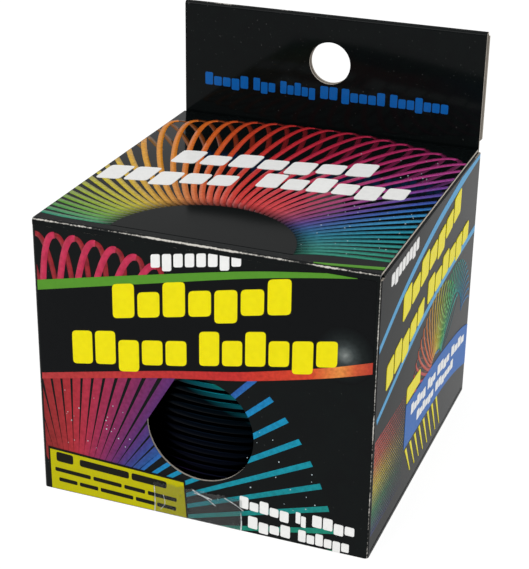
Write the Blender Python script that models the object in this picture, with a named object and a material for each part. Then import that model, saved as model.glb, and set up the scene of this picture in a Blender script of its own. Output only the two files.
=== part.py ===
"""Folding-carton pack with a hang tab, holding a rainbow spring coil toy.

The carton is one die-cut sheet of board. Each of its panels and flaps is a leaf
of its own here, because they meet at creases that act as hinges. The coil stands
upright inside, behind the round window of the front panel.

Frame: metres, +Z up, +X to the right of the front panel, -Y towards the viewer.
The origin is under the middle of the pack. Sizes below are in millimetres.
"""
from math import cos, pi, radians, sin

import bmesh
import bpy
from mathutils import Vector

MM = 0.001

# Carton
WIDTH = 70.0            # outside, across the front
LID_DEPTH = 73.0        # front crease to the foot of the hang tab
TAB_THICK = 2.0         # room behind the lid's rear edge for the two plies of the tab
HEIGHT = 60.0           # floor to the top of the closed lid
TAB_HEIGHT = 25.7       # hang tab above the lid
BOARD = 0.45            # thickness of the board
GAP = 0.3               # clearance between neighbouring leaves

# Tape that closes the bottom
TAPE = 0.1              # thickness
GLUE = 0.1              # layer between the tape and the board
TAPE_WIDTH = 19.0
TAPE_RISE = 7.5         # up the front panel
TAPE_X = -0.5           # centre of the tape across the front

# Planes that the leaves are set out from
STAND = TAPE + GLUE
TAPE_RUN = STAND + BOARD  # round the front panel's lower edge, short of the flat bottom
DEPTH = LID_DEPTH + TAB_THICK
FRONT = -(DEPTH - STAND) / 2
BACK = (DEPTH + STAND) / 2
FLOOR = STAND
SIDE = WIDTH / 2
FRONT_IN = FRONT + BOARD
BACK_IN = BACK - BOARD
SIDE_IN = SIDE - BOARD
LID_REAR = FRONT + LID_DEPTH
LID_UNDER = HEIGHT - BOARD
FLAP_TOP = LID_UNDER - GAP
PLY_FRONT = LID_REAR + GAP

# Holes
WINDOW_RADIUS = 11.2
WINDOW_Z = 21.0
HANG_HOLE_RADIUS = 4.75
HANG_HOLE_Z = 75.0
HOLE_SIDES = 48

# Flaps
DUST_FLAP = 25.0        # length of a dust flap from its crease
DUST_TAPER = 0.5        # how far its front edge falls back per millimetre of length
DUST_START = 2.0        # from the front face to the start of the crease
DUST_END = 32.3         # y of its rear edge at the crease
TUCK_FLAP = 14.0
TUCK_LEAN = 12.0        # degrees that the tuck flap leans into the carton
TUCK_CORNER = 5.0       # corner cut of the tuck flaps
BOTTOM_TUCK = 8.0
GLUE_FLAP = 12.0
NOTCH = 0.7             # relief cut at the foot of the tab
NOTCH_RISE = 1.8

# Coil
COIL_RADIUS = 32.5      # outside
STRIP_WIDTH = 4.0       # across the strip, along the radius
STRIP_THICK = 1.35
PITCH = 1.85            # height of one turn
TURNS = 27
COIL_Y = -3.2
COIL_STEPS = 24         # straight pieces in one turn
END_GAP = 0.001         # of a turn, between two lengths of the coil

COIL_FLOOR = FLOOR + 2 * BOARD + 2 * GAP


def clear_scene():
    """Start from an empty scene."""
    for old in list(bpy.data.objects):
        bpy.data.objects.remove(old, do_unlink=True)


def material(name, colour, roughness, metallic=0.0, alpha=1.0):
    """One Principled material, with the colour given as linear RGB."""
    made = bpy.data.materials.new(name)
    made.use_nodes = True
    shader = made.node_tree.nodes["Principled BSDF"]
    shader.inputs["Base Color"].default_value = (*colour, 1.0)
    shader.inputs["Roughness"].default_value = roughness
    shader.inputs["Metallic"].default_value = metallic
    shader.inputs["Alpha"].default_value = alpha
    return made


def add_mesh(name, shape, finish, origin=(0.0, 0.0, 0.0)):
    """Link a bmesh given in millimetres, with its object's origin at a point in millimetres."""
    bmesh.ops.translate(shape, verts=shape.verts, vec=-Vector(origin))
    bmesh.ops.scale(shape, verts=shape.verts, vec=(MM, MM, MM))
    bmesh.ops.recalc_face_normals(shape, faces=shape.faces)
    mesh = bpy.data.meshes.new(name)
    shape.to_mesh(mesh)
    shape.free()
    mesh.materials.append(finish)
    made = bpy.data.objects.new(name, mesh)
    made.location = Vector(origin) * MM
    bpy.context.scene.collection.objects.link(made)
    return made


def slab(name, axis, outline, low, high, finish, origin=(0.0, 0.0, 0.0)):
    """A flat leaf: an outline in the other two axes, taken from low to high along one axis."""
    place = {
        "x": lambda a, b, c: (c, a, b),
        "y": lambda a, b, c: (a, c, b),
        "z": lambda a, b, c: (a, b, c),
    }[axis]
    shape = bmesh.new()
    corners = [shape.verts.new(place(a, b, low)) for a, b in outline]
    face = shape.faces.new(corners)
    grown = bmesh.ops.extrude_face_region(shape, geom=[face])
    moved = [part for part in grown["geom"] if isinstance(part, bmesh.types.BMVert)]
    bmesh.ops.translate(shape, verts=moved, vec=place(0.0, 0.0, high - low))
    return add_mesh(name, shape, finish, origin)


def rectangle(a_low, a_high, b_low, b_high):
    """Corners of a rectangle, in order."""
    return [(a_low, b_low), (a_high, b_low), (a_high, b_high), (a_low, b_high)]


def punch(leaf, radius, z):
    """Cut a round hole through a leaf that faces the front."""
    shape = bmesh.new()
    bmesh.ops.create_cone(
        shape, cap_ends=True, segments=HOLE_SIDES, radius1=radius, radius2=radius, depth=8.0)
    for vert in shape.verts:
        vert.co = Vector((vert.co.x, vert.co.z, vert.co.y))
    middle = (0.0, leaf.bound_box[0][1] / MM, z)
    bmesh.ops.translate(shape, verts=shape.verts, vec=middle)
    cutter = add_mesh(leaf.name + "_cutter", shape, leaf.data.materials[0])
    cutter.hide_render = True
    cutter.display_type = "WIRE"
    hole = leaf.modifiers.new("hole", "BOOLEAN")
    hole.operation = "DIFFERENCE"
    hole.solver = "EXACT"
    hole.object = cutter


def build_sleeve(board):
    """The four walls of the carton and the glue flap that joins the sheet's two ends."""
    front = slab(
        "front_panel", "y", rectangle(-SIDE, SIDE, FLOOR, FLAP_TOP), FRONT, FRONT_IN, board)
    punch(front, WINDOW_RADIUS, WINDOW_Z)

    wall = rectangle(
        FRONT_IN + GAP, BACK_IN - GAP, FLOOR + 2 * (BOARD + GAP) + GAP, FLAP_TOP - BOARD - GAP)
    slab("left_side_panel", "x", wall, -SIDE, -SIDE_IN, board)
    slab("right_side_panel", "x", wall, SIDE_IN, SIDE, board)

    glue_top = FLAP_TOP - 2.0
    glue_low = COIL_FLOOR + 1.0
    edge = -SIDE_IN + GAP
    glue_outline = [
        (edge, glue_low),
        (edge + GLUE_FLAP, glue_low + 4.0),
        (edge + GLUE_FLAP, glue_top - 4.0),
        (edge, glue_top),
    ]
    slab("glue_flap", "y", glue_outline, BACK_IN - GAP - BOARD, BACK_IN - GAP, board)


def tab_outline(low, high, notch_low):
    """Outline of a ply of the hang tab, with the relief cuts at its foot."""
    inner = SIDE - NOTCH
    right = [
        (SIDE, low),
        (SIDE, notch_low),
        (inner, notch_low),
        (SIDE, notch_low + NOTCH_RISE),
        (SIDE, high),
    ]
    return right + [(-a, b) for a, b in reversed(right)]


def build_back_and_tab(board):
    """The back panel, which runs on up as the tab's rear ply, and the ply folded down in front."""
    fold = (BACK - PLY_FRONT) / 2
    fold_z = HEIGHT + TAB_HEIGHT - fold
    back = slab(
        "back_panel", "y", tab_outline(FLOOR, fold_z - GAP, HEIGHT), BACK_IN, BACK, board)
    punch(back, HANG_HOLE_RADIUS, HANG_HOLE_Z)

    outer = []
    inner = []
    steps = 10
    for step in range(steps + 1):
        turn = pi * step / steps
        outer.append((PLY_FRONT + fold - fold * cos(turn), fold_z + fold * sin(turn)))
        inner.append((
            PLY_FRONT + fold - (fold - BOARD) * cos(turn),
            fold_z + (fold - BOARD) * sin(turn)))
    foot = FLAP_TOP - BOARD
    profile = [(PLY_FRONT, foot)] + outer + inner[::-1] + [(PLY_FRONT + BOARD, foot)]
    half = SIDE - GAP
    ply = slab("hang_tab_front_ply", "x", profile, -half, half, board)
    punch(ply, HANG_HOLE_RADIUS, HANG_HOLE_Z)


def build_lid(board):
    """The lid, hinged on the front top crease, and the tuck flap on its rear edge."""
    hinge = (0.0, FRONT, HEIGHT)
    lid = rectangle(-SIDE + GAP, SIDE - GAP, FRONT, LID_REAR)
    slab("lid_panel", "z", lid, LID_UNDER, HEIGHT, board, hinge)

    half = SIDE_IN - 2 * GAP
    tip = -TUCK_FLAP
    flap = [
        (-half, 0.0),
        (-half, tip + TUCK_CORNER),
        (-half + TUCK_CORNER * 0.6, tip),
        (half - TUCK_CORNER * 0.6, tip),
        (half, tip + TUCK_CORNER),
        (half, 0.0),
    ]
    tuck = slab("lid_tuck_flap", "y", flap, -BOARD, 0.0, board)
    tuck.location = Vector((0.0, LID_REAR, FLAP_TOP)) * MM
    tuck.rotation_euler.x = -radians(TUCK_LEAN)


def build_top_dust_flaps(board):
    """The two flaps under the lid, each hinged on the top crease of a side panel."""
    start = FRONT + DUST_START
    for side, name in ((-1, "left_top_dust_flap"), (1, "right_top_dust_flap")):
        free = side * (SIDE - DUST_FLAP)
        outline = [
            (side * SIDE, start),
            (free, start + DUST_FLAP * DUST_TAPER),
            (free, DUST_END - 1.5),
            (side * SIDE, DUST_END),
        ]
        hinge = (side * SIDE, 0.0, FLAP_TOP)
        slab(name, "z", outline, FLAP_TOP - BOARD, FLAP_TOP, board, hinge)


def build_bottom(board):
    """The bottom closure: a panel creased to the back wall, its tuck flap and two dust flaps."""
    half = SIDE - GAP
    floor = rectangle(-half, half, FRONT_IN + GAP, BACK_IN - GAP)
    slab("bottom_panel", "z", floor, FLOOR, FLOOR + BOARD, board)

    tuck_low = FLOOR + BOARD + GAP
    tuck_half = SIDE_IN - 2 * GAP
    tuck = [
        (-tuck_half, tuck_low),
        (tuck_half, tuck_low),
        (tuck_half - 2.0, tuck_low + BOTTOM_TUCK),
        (-tuck_half + 2.0, tuck_low + BOTTOM_TUCK),
    ]
    tuck_front = FRONT_IN + GAP
    slab("bottom_tuck_flap", "y", tuck, tuck_front, tuck_front + BOARD, board)

    front_edge = tuck_front + BOARD + GAP
    rear_edge = BACK_IN - 2 * GAP - BOARD
    for side, name in ((-1, "left_bottom_dust_flap"), (1, "right_bottom_dust_flap")):
        free = side * (SIDE - DUST_FLAP)
        outline = [
            (side * SIDE, front_edge),
            (free, front_edge + 2.0),
            (free, rear_edge - DUST_FLAP * DUST_TAPER),
            (side * SIDE, rear_edge),
        ]
        low = FLOOR + BOARD + GAP
        slab(name, "z", outline, low, low + BOARD, board)


def build_tape(clear):
    """Clear tape over the bottom front edge: an L in side view, with a short foot."""
    outer = FRONT - STAND
    inner = outer + TAPE
    profile = [
        (outer, 0.0),
        (outer + TAPE_RUN, 0.0),
        (outer + TAPE_RUN, TAPE),
        (inner, TAPE),
        (inner, TAPE_RISE),
        (outer, TAPE_RISE),
    ]
    half = TAPE_WIDTH / 2
    slab("closure_tape", "x", profile, TAPE_X - half, TAPE_X + half, clear)


def coil_length(name, first, last, finish, origin=(0.0, 0.0, 0.0)):
    """A length of the coil's flat strip, from one turn number to another."""
    shape = bmesh.new()
    steps = round((last - first) * COIL_STEPS)
    inside = COIL_RADIUS - STRIP_WIDTH
    rings = []
    for step in range(steps + 1):
        turn = first + (last - first) * step / steps
        angle = 2 * pi * turn
        low = COIL_FLOOR + PITCH * turn
        across = Vector((sin(angle), -cos(angle), 0.0))
        centre = Vector((0.0, COIL_Y, 0.0))
        ring = []
        for radius, z in (
                (inside, low),
                (COIL_RADIUS, low),
                (COIL_RADIUS, low + STRIP_THICK),
                (inside, low + STRIP_THICK)):
            ring.append(shape.verts.new(centre + across * radius + Vector((0.0, 0.0, z))))
        rings.append(ring)
    for ring, following in zip(rings, rings[1:]):
        for corner in range(4):
            beside = (corner + 1) % 4
            shape.faces.new((ring[corner], ring[beside], following[beside], following[corner]))
    shape.faces.new(rings[0])
    shape.faces.new(rings[-1])
    made = add_mesh(name, shape, finish, origin)
    made.data.shade_smooth()
    made.data.set_sharp_from_angle(angle=radians(40))
    return made


def build_coil():
    """The coil is one strip. Its end turns are lengths of their own, so that it can stretch."""
    teal = material("coil_teal_plastic", (0.0, 0.30, 0.28), 0.25, 0.4)
    green = material("coil_green_plastic", (0.05, 0.40, 0.08), 0.25, 0.4)
    red = material("coil_red_plastic", (0.55, 0.04, 0.05), 0.25, 0.4)
    coil_length("coil_base_turn", 0.0, 1.0 - END_GAP, green)
    coil_length("coil_middle_turns", 1.0 + END_GAP, TURNS - 1.0 - END_GAP, teal)
    top = (0.0, COIL_Y, COIL_FLOOR + PITCH * (TURNS - 1))
    coil_length("coil_top_turn", TURNS - 1.0 + END_GAP, TURNS, red, top)


def main():
    clear_scene()
    black = material("black_gloss_board", (0.008, 0.010, 0.011), 0.12)
    grey = material("grey_board", (0.42, 0.40, 0.36), 0.85)
    clear = material("clear_tape", (0.85, 0.88, 0.90), 0.08, alpha=0.25)
    build_sleeve(black)
    build_back_and_tab(black)
    build_lid(black)
    build_top_dust_flaps(grey)
    build_bottom(grey)
    build_tape(clear)
    build_coil()


main()
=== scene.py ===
"""A rainbow spring coil toy in its glossy black folding carton with a hang tab.

Lengths are in millimetres and turned to metres where a mesh is finished.
"""

import math
import random
from collections import namedtuple

import bmesh
import bpy
from mathutils import Euler, Matrix, Vector, noise


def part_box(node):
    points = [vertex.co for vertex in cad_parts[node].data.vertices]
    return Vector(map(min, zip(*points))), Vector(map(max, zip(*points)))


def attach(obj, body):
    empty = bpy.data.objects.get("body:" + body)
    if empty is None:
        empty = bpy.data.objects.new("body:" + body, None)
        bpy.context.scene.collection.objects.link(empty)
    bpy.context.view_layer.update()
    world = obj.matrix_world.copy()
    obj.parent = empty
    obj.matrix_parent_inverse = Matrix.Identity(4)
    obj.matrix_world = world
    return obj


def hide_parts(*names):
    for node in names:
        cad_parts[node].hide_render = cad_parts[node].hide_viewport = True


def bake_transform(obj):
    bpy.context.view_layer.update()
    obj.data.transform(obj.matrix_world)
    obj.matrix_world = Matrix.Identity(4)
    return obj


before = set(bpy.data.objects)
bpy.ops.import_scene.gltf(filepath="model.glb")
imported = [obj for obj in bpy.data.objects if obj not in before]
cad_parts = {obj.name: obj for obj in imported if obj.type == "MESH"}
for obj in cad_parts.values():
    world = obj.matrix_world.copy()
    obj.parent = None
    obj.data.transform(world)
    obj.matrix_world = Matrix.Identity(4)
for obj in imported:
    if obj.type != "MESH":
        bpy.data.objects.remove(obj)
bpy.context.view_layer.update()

MM = 0.001


def sides(node):
    """Lowest and highest corner of a CAD node, in millimetres."""
    low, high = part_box(node)
    return low / MM, high / MM


# ---------------------------------------------------------------- sizes

lid_low, lid_high = sides("lid_panel")
ply_low, ply_high = sides("hang_tab_front_ply")
wall_high = sides("back_panel")[1]
front_low = sides("front_panel")[0]
tuck_low, tuck_high = sides("lid_tuck_flap")
dust_low, dust_high = sides("left_top_dust_flap")
base_low, base_high = sides("bottom_panel")
tape_low, tape_high = sides("closure_tape")

SIDE = wall_high.x
FRONT = front_low.y
BACK = wall_high.y
FLOOR = front_low.z
LID_TOP = lid_high.z
LID_SIDE = lid_high.x
LID_REAR = lid_high.y
BOARD = lid_high.z - lid_low.z
FLAP_TOP = dust_high.z
WALL_TOP = dust_low.z - 0.1
TAB_FACE = ply_low.y
TAB_TOP = ply_high.z
MIDDLE = (FRONT + BACK) / 2

CORNER = 0.8            # outside radius of a vertical crease
FOLD = 0.6              # outside radius of a lid or flap crease
CORNER_STEPS = 6
TAB_FOLD = 0.85         # outside radius of the fold along the top of the tab
NOTCH_FOOT = 60.9       # height of the notch that frees the tab from the side wall
NOTCH_TOP = 61.8
WINDOW = (0.0, 21.0)    # across the front, above the floor
WINDOW_RADIUS = 11.2
HANG_HOLE = (0.0, 75.0)
HANG_HOLE_RADIUS = 4.75
HOLE_SIDES = 96
INK = 0.02              # thickness of one layer of ink, drawn thicker than the real 0.002
SINK = 0.01             # depth of a film's foot inside the board
GLOSS = 0.1             # roughness of the coat
RUBBED = 0.4            # roughness of the coat on the sides, which rub against other cartons
COAT_SHINE = 0.075      # the coat over dark ink mirrors a little under one hundredth head on

COIL_AXIS_Y = -3.2
COIL_MEAN_RADIUS = 30.5
COIL_STRIP = 4.0
COIL_THICK = 1.35
COIL_PITCH = 1.85
COIL_TURNS = 27
COIL_FOOT = 1.7

COLOURS = {
    "black": "0a0f0f",
    "deep_black": "07090b",
    "disc": "0c0f0f",
    "yellow": "f0e20a",
    "white": "f2f2f0",
    "red": "b83434",
    "green": "55932c",
    "blue": "0f62b4",
    "sky": "4a9fd0",
    "sparkle": "b4c2c8",
    "label": "bcb600",
    "label_dark": "14140c",
}


# ---------------------------------------------------------------- nodes and colours


def linear(hex_text):
    """Linear colour of an sRGB hex value."""
    channels = []
    for start in (0, 2, 4):
        value = int(hex_text[start : start + 2], 16) / 255
        channels.append(value / 12.92 if value <= 0.04045 else ((value + 0.055) / 1.055) ** 2.4)
    return (*channels, 1.0)


def add(tree, kind, settings=None, *values, **named):
    """Add one node. Nodes and sockets among its values are linked, and hex text becomes a colour.

    A text setting is the node's operation, and stops are a ramp's positions and colours.
    """
    node = tree.nodes.new(kind)
    if isinstance(settings, str):
        settings = {"operation": settings}
    for name, value in (settings or {}).items():
        if name != "stops":
            setattr(node, name, value)
            continue
        elements = node.color_ramp.elements
        while len(elements) < len(value):
            elements.new(0.5)
        for element, (position, _) in zip(elements, sorted(value)):
            element.position = position
        for element, (_, colour) in zip(elements, sorted(value)):
            element.color = linear(colour)
    shown = [socket for socket in node.inputs if socket.enabled]
    pairs = list(zip(shown, values))
    pairs += [(node.inputs[name.replace("_", " ")], value) for name, value in named.items()]
    for socket, value in pairs:
        if isinstance(value, bpy.types.Node):
            value = next(output for output in value.outputs if output.enabled)
        if isinstance(value, bpy.types.NodeSocket):
            tree.links.new(value, socket)
        else:
            socket.default_value = linear(value) if isinstance(value, str) else value
    return node


def object_mm(tree, place=None, centre=(0.0, 0.0)):
    """Object coordinates in millimetres, along a leaf's own axes if one is given."""
    inverse = place.inverted() if place else Matrix.Scale(1 / MM, 4)
    shift = inverse.translation - Vector((*centre, 0.0))
    turn = inverse.to_3x3().normalized().to_euler()
    spot = add(tree, "ShaderNodeTexCoord").outputs["Object"]
    return add(tree, "ShaderNodeMapping", None, spot, shift, turn, (1 / MM, 1 / MM, 1 / MM))


def coat_relief():
    """Shared relief of the coated sheet: the levelled coat's orange peel over a slack board."""
    group = bpy.data.node_groups.new("coat_relief", "ShaderNodeTree")
    group.interface.new_socket("Normal", in_out="OUTPUT", socket_type="NodeSocketVector")
    result = group.nodes.new("NodeGroupOutput")
    place = object_mm(group)
    slack = add(group, "ShaderNodeTexNoise", None, Vector=place, Scale=1 / 22, Detail=1.0)
    slack = add(group, "ShaderNodeBump", None, Strength=0.5, Distance=0.0002, Height=slack)
    peel = add(group, "ShaderNodeTexNoise", None, Vector=place, Scale=1 / 0.9)
    peel = add(group, "ShaderNodeBump", None, Strength=0.12, Distance=0.00001, Height=peel, Normal=slack)
    group.links.new(peel.outputs["Normal"], result.inputs["Normal"])
    return group


RELIEF = coat_relief()


def blank(name):
    """An empty material and its tree."""
    material = bpy.data.materials.new(name)
    material.use_nodes = True
    material.node_tree.nodes.clear()
    return material, material.node_tree


def surface(tree, **sockets):
    """End a material in one Principled shader."""
    shader = add(tree, "ShaderNodeBsdfPrincipled", None, **sockets)
    add(tree, "ShaderNodeOutputMaterial", None, Surface=shader)


# ---------------------------------------------------------------- finishes


def coated_black_board():
    """Folding boxboard printed solid black under a UV gloss coat, its creases worn to pale fibre; on the
    vertical creases that pale mark also stands in as a painted highlight.
    """
    material, tree = blank("coated_black_board")
    place = object_mm(tree)
    crease = add(tree, "ShaderNodeAttribute", {"attribute_name": "crease"}).outputs["Fac"]
    rubbed = add(tree, "ShaderNodeAttribute", {"attribute_name": "rubbed"}).outputs["Fac"]
    fibres = add(tree, "ShaderNodeTexNoise", None, Vector=place, Scale=1 / 0.45, Detail=4.0, Roughness=0.7)
    stretches = add(tree, "ShaderNodeTexNoise", None, Vector=place, Scale=1 / 9, Detail=1.0)
    brittle = add(tree, "ShaderNodeMath", "ADD", fibres, stretches)
    worn = add(tree, "ShaderNodeMath", "MULTIPLY", crease, brittle)
    # Pale crease mark: real wear to the fibre, and on the vertical creases also a painted highlight.
    cracks_and_crease_highlight = add(tree, "ShaderNodeMapRange", None, worn, 0.78, 1.0)
    mottle = add(tree, "ShaderNodeTexNoise", None, Vector=place, Scale=1 / 3)
    mottled = add(tree, "ShaderNodeValToRGB", {"stops": [(0.3, "090c0d"), (0.7, COLOURS["black"])]}, mottle)
    dust = add(tree, "ShaderNodeTexNoise", None, Vector=place, Scale=1 / 0.55)
    dust = add(tree, "ShaderNodeMapRange", None, dust, 0.7, 0.78, 0.0, 0.16)
    dusty = add(tree, "ShaderNodeMix", {"data_type": "RGBA"}, dust, mottled, "8b8f8c")
    colour = add(tree, "ShaderNodeMix", {"data_type": "RGBA"}, cracks_and_crease_highlight, dusty, "d4d0c8")
    dulled = add(tree, "ShaderNodeMapRange", None, cracks_and_crease_highlight, 0.0, 1.0, 0.09, 0.8)
    rubbed = add(tree, "ShaderNodeMath", "MULTIPLY", rubbed, RUBBED)
    dulled = add(tree, "ShaderNodeMath", "MAXIMUM", dulled, rubbed)
    relief = add(tree, "ShaderNodeGroup", {"node_tree": RELIEF})
    surface(tree, Base_Color=colour, Roughness=dulled, Normal=relief, Specular_IOR_Level=COAT_SHINE)
    return material


def cut_board():
    """Raw cut edge of folding boxboard: pale pressed fibre in plies about 0.1 mm apart."""
    material, tree = blank("cut_board_edge")
    place = object_mm(tree)
    fibre = add(tree, "ShaderNodeTexNoise", None, Vector=place, Scale=1 / 0.25, Detail=4.0, Roughness=0.7)
    stops = [(0.25, "7f786e"), (0.5, "b5ada1"), (0.8, "d6d0c6")]
    colour = add(tree, "ShaderNodeValToRGB", {"stops": stops}, fibre)
    plies = add(tree, "ShaderNodeTexNoise", None, Vector=place, Scale=1 / 0.12, Detail=3.0)
    bump = add(tree, "ShaderNodeBump", None, Strength=0.5, Distance=0.00005, Height=plies)
    surface(tree, Base_Color=colour, Roughness=0.9, Normal=bump)
    return material


def grey_back():
    """Uncoated grey inner side of the board, with the dark and pale flecks of recycled fibre."""
    material, tree = blank("grey_board_back")
    place = object_mm(tree)
    cloud = add(tree, "ShaderNodeTexNoise", None, Vector=place, Scale=1 / 5)
    cloud = add(tree, "ShaderNodeValToRGB", {"stops": [(0.3, "a29a8f"), (0.7, "a9a196")]}, cloud)
    flecks = add(tree, "ShaderNodeTexNoise", None, Vector=place, Scale=1 / 0.35, Detail=5.0, Roughness=0.8)
    flecks = add(tree, "ShaderNodeValToRGB", {"stops": [(0.3, "5f584e"), (0.42, "ffffff")]}, flecks)
    colour = add(tree, "ShaderNodeMix", {"data_type": "RGBA", "blend_type": "MULTIPLY"}, 0.6, cloud, flecks)
    felt = add(tree, "ShaderNodeTexNoise", None, Vector=place, Scale=1 / 0.4, Detail=4.0)
    bump = add(tree, "ShaderNodeBump", None, Strength=0.4, Distance=0.00006, Height=felt)
    surface(tree, Base_Color=colour, Roughness=0.92, Normal=bump)
    return material


def printing_ink(name, stops, kind=None, face=None, centre=(0.0, 0.0), reach=1.0, core=None, dull=GLOSS):
    """Offset ink under the gloss coat: plain, or shaded round or along a leaf's own axes."""
    material, tree = blank(name)
    if kind is None:
        near = add(tree, "ShaderNodeTexNoise", None, Vector=object_mm(tree), Scale=1 / 1.2, Detail=3.0)
        pale, full = stops
        colour = add(tree, "ShaderNodeValToRGB", {"stops": [(0.35, pale), (0.6, full)]}, near)
    else:
        dull = face.dull
        vector = object_mm(tree, face.place, centre)
        if core or kind == "SPHERICAL":
            distance = add(tree, "ShaderNodeVectorMath", "LENGTH", vector).outputs["Value"]
        if kind == "RADIAL":
            factor = add(tree, "ShaderNodeTexGradient", {"gradient_type": kind}, vector).outputs["Fac"]
        elif kind == "SPHERICAL":
            factor = add(tree, "ShaderNodeMath", "DIVIDE", distance, reach)
        else:
            along = add(tree, "ShaderNodeSeparateXYZ", None, vector).outputs[kind]
            factor = add(tree, "ShaderNodeMath", "DIVIDE", along, reach)
        base = add(tree, "ShaderNodeValToRGB", {"stops": stops}, factor)
        if core:
            near_stops, inner, outer = core
            share = add(tree, "ShaderNodeMapRange", None, distance, inner + 7, outer)
            near = add(tree, "ShaderNodeValToRGB", {"stops": near_stops}, factor)
            base = add(tree, "ShaderNodeMix", {"data_type": "RGBA"}, share, near, base)
            share = add(tree, "ShaderNodeMapRange", None, distance, inner + 0.6, inner + 5)
            base = add(tree, "ShaderNodeMix", {"data_type": "RGBA"}, share, COLOURS["disc"], base)
        dots = add(tree, "ShaderNodeTexNoise", None, Vector=object_mm(tree), Scale=1 / 0.8, Detail=3.0)
        dots = add(tree, "ShaderNodeValToRGB", {"stops": [(0.3, "dedede"), (0.65, "ffffff")]}, dots)
        colour = add(tree, "ShaderNodeMix", {"data_type": "RGBA", "blend_type": "MULTIPLY"}, 1.0, base, dots)
    relief = add(tree, "ShaderNodeGroup", {"node_tree": RELIEF})
    surface(tree, Base_Color=colour, Roughness=dull, Normal=relief, Specular_IOR_Level=COAT_SHINE)
    return material


def clear_tape():
    """Biaxial polypropylene packing tape: clear, with hazy streaks where glue has not wetted."""
    material, tree = blank("clear_packing_tape")
    place = object_mm(tree)
    stretched = add(tree, "ShaderNodeMapping", None, place, Rotation=(0.0, 0.6, 0.0), Scale=(1.0, 1.0, 0.3))
    haze = add(tree, "ShaderNodeTexNoise", None, Vector=stretched, Scale=1 / 1.6, Detail=4.0, Roughness=0.6)
    haze = add(tree, "ShaderNodeMapRange", None, haze, 0.55, 0.75, 0.04, 0.45)
    waves = add(tree, "ShaderNodeTexNoise", None, Vector=stretched, Scale=1 / 2.2, Detail=3.0)
    bump = add(tree, "ShaderNodeBump", None, Strength=0.5, Distance=0.00006, Height=waves)
    surface(tree, Base_Color="f4f6f6", Roughness=haze, Normal=bump, Transmission_Weight=1.0, IOR=1.3)
    return material


def tape_whitening_and_painted_highlight():
    """Creased and torn tape edges, where stretched film turns milky; these pale streaks also stand in as
    painted highlights on the wrinkles.
    """
    material, tree = blank("stress_whitening_and_painted_highlight_on_tape")
    cloud = add(tree, "ShaderNodeTexNoise", None, Vector=object_mm(tree), Scale=1 / 0.5, Detail=3.0)
    stops = [(0.25, "5c6264"), (0.45, "b4baba"), (0.65, "eef0f0")]
    colour = add(tree, "ShaderNodeValToRGB", {"stops": stops}, cloud)
    surface(tree, Base_Color=colour, Roughness=0.35)
    return material


def metallised_plastic_with_painted_shade_and_highlight():
    """Injection moulded coil strip with a metallic rainbow finish that changes along its height; its colour
    also holds painted shade and a painted highlight for the part seen through the window.
    """
    material, tree = blank("metallised_rainbow_plastic_with_painted_shade_and_highlight")
    place = object_mm(tree)
    axes = add(tree, "ShaderNodeSeparateXYZ", None, place).outputs
    # Painted highlight: the stops tilt with X so the teal comes in first at the window's upper right.
    highlight_slant = add(tree, "ShaderNodeMath", "MULTIPLY", axes["X"], 0.46)
    drift = add(tree, "ShaderNodeTexNoise", None, Vector=place, Scale=1 / 30, Detail=1.0)
    drift = add(tree, "ShaderNodeMath", "ADD", highlight_slant, drift)
    factor = add(tree, "ShaderNodeMath", "ADD", axes["Z"], drift)
    factor = add(tree, "ShaderNodeMath", "DIVIDE", factor, 55.0)
    # Painted shade: the stops from 0.2 to 0.5 are near black over the height seen through the window; the
    # bright colours above are the toy's rainbow.
    stops = [
        (0.02, "1c0828"),
        (0.2, "05060f"),
        (0.5, "02070b"),
        (0.57, "08505a"),
        (0.63, "148066"),
        (0.7, "4aa23a"),
        (0.79, "c9b82a"),
        (0.89, "d0682a"),
        (0.97, "b8283c"),
    ]
    colour = add(tree, "ShaderNodeValToRGB", {"stops": stops}, factor)
    lines = add(tree, "ShaderNodeTexNoise", None, Vector=place, Scale=1 / 0.5, Detail=3.0)
    bump = add(tree, "ShaderNodeBump", None, Strength=0.25, Distance=0.00003, Height=lines)
    surface(tree, Base_Color=colour, Roughness=0.24, Normal=bump, Metallic=1.0)
    return material


BOARD_SIDES = (coated_black_board(), cut_board(), grey_back())
PRINTED, CUT, INSIDE = range(3)


# ---------------------------------------------------------------- making meshes


def leaf(origin, across, up):
    """A flat face of the carton: the matrix from (across, up, proud) in millimetres to metres."""
    across = Vector(across)
    up = Vector(up)
    turn = Matrix((across, up, across.cross(up))).transposed()
    return Matrix.Translation(Vector(origin) * MM) @ turn.to_4x4() @ Matrix.Scale(MM, 4)


Face = namedtuple("Face", "place area body dull")   # area is left, right, low, high
EDGE = CORNER + 0.05
FRONT_FACE = Face(
    leaf((0, FRONT, 0), (1, 0, 0), (0, 0, 1)),
    (-SIDE + EDGE, SIDE - EDGE, FLOOR + 0.1, WALL_TOP),
    "carton",
    GLOSS,
)
LID_FACE = Face(
    leaf((0, 0, LID_TOP), (1, 0, 0), (0, 1, 0)),
    (-LID_SIDE + 0.1, LID_SIDE - 0.1, FRONT + FOLD, LID_REAR - FOLD),
    "lid",
    GLOSS,
)
LID_ART = LID_FACE._replace(area=(*LID_FACE.area[:2], FRONT + 2.6, LID_FACE.area[3]))
TAB = Face(
    leaf((0, TAB_FACE, 0), (1, 0, 0), (0, 0, 1)),
    (-LID_SIDE, LID_SIDE, LID_TOP, TAB_TOP - TAB_FOLD),
    "carton",
    GLOSS,
)
RIGHT = Face(
    leaf((SIDE, 0, 0), (0, 1, 0), (0, 0, 1)),
    (FRONT + EDGE, BACK - EDGE, FLOOR + 0.1, WALL_TOP - 0.1),
    "carton",
    RUBBED,
)
LEFT = Face(
    leaf((-SIDE, 0, 0), (0, -1, 0), (0, 0, 1)),
    (-BACK + EDGE, -FRONT - EDGE, FLOOR + 0.1, WALL_TOP - 0.1),
    "carton",
    RUBBED,
)
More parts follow.
